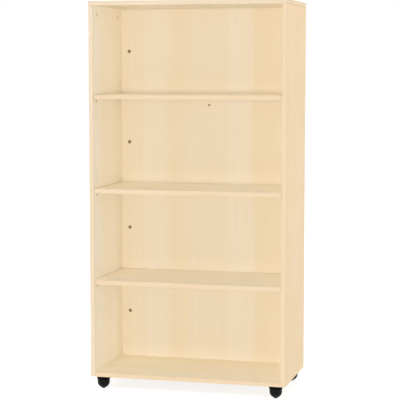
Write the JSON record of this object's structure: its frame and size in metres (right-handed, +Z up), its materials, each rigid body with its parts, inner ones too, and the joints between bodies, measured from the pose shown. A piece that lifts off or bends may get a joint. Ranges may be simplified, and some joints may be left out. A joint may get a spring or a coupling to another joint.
{
  "type": "office shelving unit",
  "caption": "Open office bookcase of pale wood-grain boards with a thick back, loose shelves on supports, cam-fitted joints and black levelling feet.",
  "frame": {"origin": "on the floor under the middle of the unit", "axes": "+Z up, the open front faces -Y, +X to the right seen from the front"},
  "size_m": [0.8, 0.4, 1.56],
  "materials": {
    "board": "satin pale maple melamine",
    "edging": "satin edging strip",
    "cam_zinc": "dull cast zinc",
    "plated_steel": "bright plating",
    "cap_plastic": "pale moulded cap",
    "dowel_wood": "bare beech",
    "foot_plastic": "moulded black",
    "tip_plastic": "moulded black"
  },
  "bodies": {
    "carcass": {"back_cam_bolts": "plated_steel", "back_cam_locks": "cam_zinc", "back_dowels": "dowel_wood", "back_panel": "board", "bottom_cam_bolts": "plated_steel", "bottom_cam_locks": "cam_zinc", "bottom_dowels": "dowel_wood", "bottom_front_edging": "edging", "bottom_panel": "board", "foot_nuts": "plated_steel", "foot_screws": "plated_steel", "front_left_foot_socket": "foot_plastic", "front_right_foot_socket": "foot_plastic", "left_side_front_edging": "edging", "left_side_panel": "board", "lower_shelf_supports": "plated_steel", "middle_shelf_supports": "plated_steel", "rear_left_foot_socket": "foot_plastic", "rear_right_foot_socket": "foot_plastic", "right_side_front_edging": "edging", "right_side_panel": "board", "top_cam_bolts": "plated_steel", "top_cam_caps": "cap_plastic", "top_cam_locks": "cam_zinc", "top_dowels": "dowel_wood", "top_front_edging": "edging", "top_left_end_edging": "edging", "top_panel": "board", "top_right_end_edging": "edging", "upper_shelf_supports": "plated_steel"},
    "upper_shelf": {"upper_shelf": "board", "upper_shelf_front_edging": "edging"},
    "middle_shelf": {"middle_shelf": "board", "middle_shelf_front_edging": "edging"},
    "lower_shelf": {"lower_shelf": "board", "lower_shelf_front_edging": "edging"},
    "front_left_foot_tip": {"front_left_foot_tip": "tip_plastic"},
    "front_left_foot_glide": {"front_left_foot_glide": "foot_plastic", "front_left_foot_spindle": "plated_steel"},
    "front_right_foot_tip": {"front_right_foot_tip": "tip_plastic"},
    "front_right_foot_glide": {"front_right_foot_glide": "foot_plastic", "front_right_foot_spindle": "plated_steel"},
    "rear_left_foot_tip": {"rear_left_foot_tip": "tip_plastic"},
    "rear_left_foot_glide": {"rear_left_foot_glide": "foot_plastic", "rear_left_foot_spindle": "plated_steel"},
    "rear_right_foot_tip": {"rear_right_foot_tip": "tip_plastic"},
    "rear_right_foot_glide": {"rear_right_foot_glide": "foot_plastic", "rear_right_foot_spindle": "plated_steel"}
  },
  "joints": [
    {"name": "upper_shelf_pull", "type": "slide", "parent": "carcass", "child": "upper_shelf", "axis": [0, -1, 0], "range_m": [0, 0.4]},
    {"name": "middle_shelf_pull", "type": "slide", "parent": "carcass", "child": "middle_shelf", "axis": [0, -1, 0], "range_m": [0, 0.4]},
    {"name": "lower_shelf_pull", "type": "slide", "parent": "carcass", "child": "lower_shelf", "axis": [0, -1, 0], "range_m": [0, 0.4]},
    {"name": "front_left_foot_drop", "type": "slide", "parent": "carcass", "child": "front_left_foot_tip", "axis": [0, 0, -1], "range_m": [0, 0.012]},
    {"name": "front_left_foot_turn", "type": "hinge", "parent": "front_left_foot_tip", "child": "front_left_foot_glide", "pos_m": [-0.357, -0.165, 0.02], "axis": [0, 0, -1], "range_deg": [0, 2880]},
    {"name": "front_right_foot_drop", "type": "slide", "parent": "carcass", "child": "front_right_foot_tip", "axis": [0, 0, -1], "range_m": [0, 0.012]},
    {"name": "front_right_foot_turn", "type": "hinge", "parent": "front_right_foot_tip", "child": "front_right_foot_glide", "pos_m": [0.357, -0.165, 0.02], "axis": [0, 0, -1], "range_deg": [0, 2880]},
    {"name": "rear_left_foot_drop", "type": "slide", "parent": "carcass", "child": "rear_left_foot_tip", "axis": [0, 0, -1], "range_m": [0, 0.012]},
    {"name": "rear_left_foot_turn", "type": "hinge", "parent": "rear_left_foot_tip", "child": "rear_left_foot_glide", "pos_m": [-0.357, 0.165, 0.02], "axis": [0, 0, -1], "range_deg": [0, 2880]},
    {"name": "rear_right_foot_drop", "type": "slide", "parent": "carcass", "child": "rear_right_foot_tip", "axis": [0, 0, -1], "range_m": [0, 0.012]},
    {"name": "rear_right_foot_turn", "type": "hinge", "parent": "rear_right_foot_tip", "child": "rear_right_foot_glide", "pos_m": [0.357, 0.165, 0.02], "axis": [0, 0, -1], "range_deg": [0, 2880]}
  ],
  "couplings": [
    {"joint": "front_left_foot_drop", "follows": "front_left_foot_turn", "m_per_rad": 0.00023873},
    {"joint": "front_right_foot_drop", "follows": "front_right_foot_turn", "m_per_rad": 0.00023873},
    {"joint": "rear_left_foot_drop", "follows": "rear_left_foot_turn", "m_per_rad": 0.00023873},
    {"joint": "rear_right_foot_drop", "follows": "rear_right_foot_turn", "m_per_rad": 0.00023873}
  ]
}
